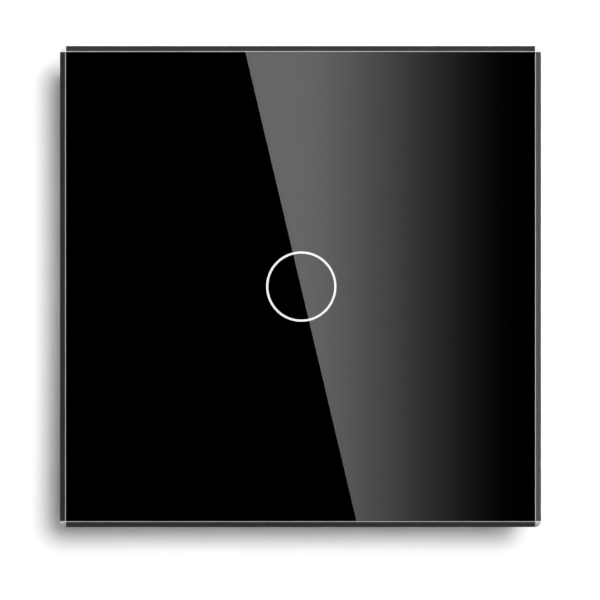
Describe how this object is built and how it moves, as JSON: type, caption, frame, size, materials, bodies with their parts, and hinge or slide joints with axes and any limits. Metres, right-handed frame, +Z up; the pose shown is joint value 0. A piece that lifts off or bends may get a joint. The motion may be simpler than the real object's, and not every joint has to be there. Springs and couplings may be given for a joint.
{
  "type": "touch light switch",
  "caption": "Wall light switch with a square black glass touch panel, a lit ring, and a base on a steel bracket with a relay and clamp terminals behind.",
  "frame": {"origin": "middle of the bracket's back face, on the wall, midway between the wall screws", "axes": "+Z up the wall, -Y out of the wall towards the user, +X to the right as seen by the user"},
  "size_m": [0.08, 0.0373, 0.08],
  "materials": {
    "dark_glass": "dark tint, polished, ground arris and corners",
    "black_print": "opaque print",
    "lit_white": "translucent white print, lit from behind",
    "foam_tape": "foam with adhesive on both sides",
    "black_abs": "satin moulded",
    "white_pc": "satin moulded",
    "spring_steel": "bright strip",
    "zinc_steel": "zinc plated, stamped",
    "screw_steel": "zinc plated",
    "cage_steel": "nickel plated",
    "black_board": "black solder mask on glass fibre laminate",
    "green_board": "green solder mask on glass fibre laminate",
    "gold_spring": "gold-coloured plated wire",
    "milky_plastic": "translucent",
    "led_white": "phosphor lens",
    "black_epoxy": "moulded",
    "tin": "tinned",
    "resistor_black": "glazed",
    "ceramic_tan": "fired ceramic",
    "green_plastic": "moulded",
    "brass": "bright",
    "soft_iron": "nickel plated",
    "copper_wire": "enamelled winding",
    "blue_case": "moulded",
    "dark_sleeve": "shrunk sleeve over an aluminium can",
    "yellow_case": "moulded, potted",
    "blue_coat": "dipped epoxy",
    "ferrite": "sintered"
  },
  "bodies": {
    "base": {"base_frame": "white_pc", "panel_clips": "spring_steel", "mounting_bracket": "zinc_steel", "frame_screws": "screw_steel", "rear_housing": "white_pc", "touch_board": "black_board", "touch_spring": "gold_spring", "light_guide": "milky_plastic", "ring_leds": "led_white", "touch_chip": "black_epoxy", "chip_legs": "tin", "chip_resistors": "resistor_black", "chip_capacitors": "ceramic_tan", "header_block": "black_epoxy", "header_pins": "brass", "header_socket": "black_epoxy", "board_spacers": "milky_plastic", "power_board": "green_board", "soldered_leads": "tin", "terminal_block": "green_plastic", "terminal_bars": "brass", "relay_base": "black_epoxy", "relay_yoke": "soft_iron", "relay_core": "soft_iron", "relay_bobbin": "milky_plastic", "relay_coil": "copper_wire", "relay_contact": "brass", "relay_case": "blue_case", "storage_capacitor": "dark_sleeve", "film_capacitor": "yellow_case", "varistor": "blue_coat", "fuse": "black_epoxy", "choke_core": "ferrite", "choke_winding": "copper_wire", "rectifier": "black_epoxy"},
    "panel": {"glass_panel": "dark_glass", "back_print": "black_print", "ring_icon": "lit_white", "panel_tape": "foam_tape", "panel_carrier": "black_abs"},
    "armature": {"relay_armature": "soft_iron", "contact_leaf": "brass"},
    "live_screw": {"live_screw": "screw_steel"},
    "live_cage": {"live_cage": "cage_steel"},
    "load_screw": {"load_screw": "screw_steel"},
    "load_cage": {"load_cage": "cage_steel"},
    "neutral_screw": {"neutral_screw": "screw_steel"},
    "neutral_cage": {"neutral_cage": "cage_steel"}
  },
  "joints": [
    {"name": "panel_pull", "type": "slide", "parent": "base", "child": "panel", "axis": [0, -1, 0], "range_m": [0, 0.05], "deforming": ["panel_clips"]},
    {"name": "armature_swing", "type": "hinge", "parent": "base", "child": "armature", "pos_m": [-0.00875, 0.01613, 0.0138], "axis": [0, 0, -1], "range_deg": [0, 4.5], "stiffness_Nm_per_rad": 0.01, "springref_deg": -4.58},
    {"name": "live_screw_turn", "type": "hinge", "parent": "base", "child": "live_screw", "pos_m": [-0.0055, 0.016, -0.015], "axis": [0, -1, 0], "range_deg": [0, 2080.1]},
    {"name": "live_cage_rise", "type": "slide", "parent": "base", "child": "live_cage", "axis": [0, 1, 0], "range_m": [0, 0.0026]},
    {"name": "load_screw_turn", "type": "hinge", "parent": "base", "child": "load_screw", "pos_m": [0, 0.016, -0.015], "axis": [0, -1, 0], "range_deg": [0, 2080.1]},
    {"name": "load_cage_rise", "type": "slide", "parent": "base", "child": "load_cage", "axis": [0, 1, 0], "range_m": [0, 0.0026]},
    {"name": "neutral_screw_turn", "type": "hinge", "parent": "base", "child": "neutral_screw", "pos_m": [0.0055, 0.016, -0.015], "axis": [0, -1, 0], "range_deg": [0, 2080.1]},
    {"name": "neutral_cage_rise", "type": "slide", "parent": "base", "child": "neutral_cage", "axis": [0, 1, 0], "range_m": [0, 0.0026]}
  ],
  "couplings": [
    {"joint": "live_screw_turn", "follows": "live_cage_rise", "rad_per_m": 13963},
    {"joint": "load_screw_turn", "follows": "load_cage_rise", "rad_per_m": 13963},
    {"joint": "neutral_screw_turn", "follows": "neutral_cage_rise", "rad_per_m": 13963}
  ]
}
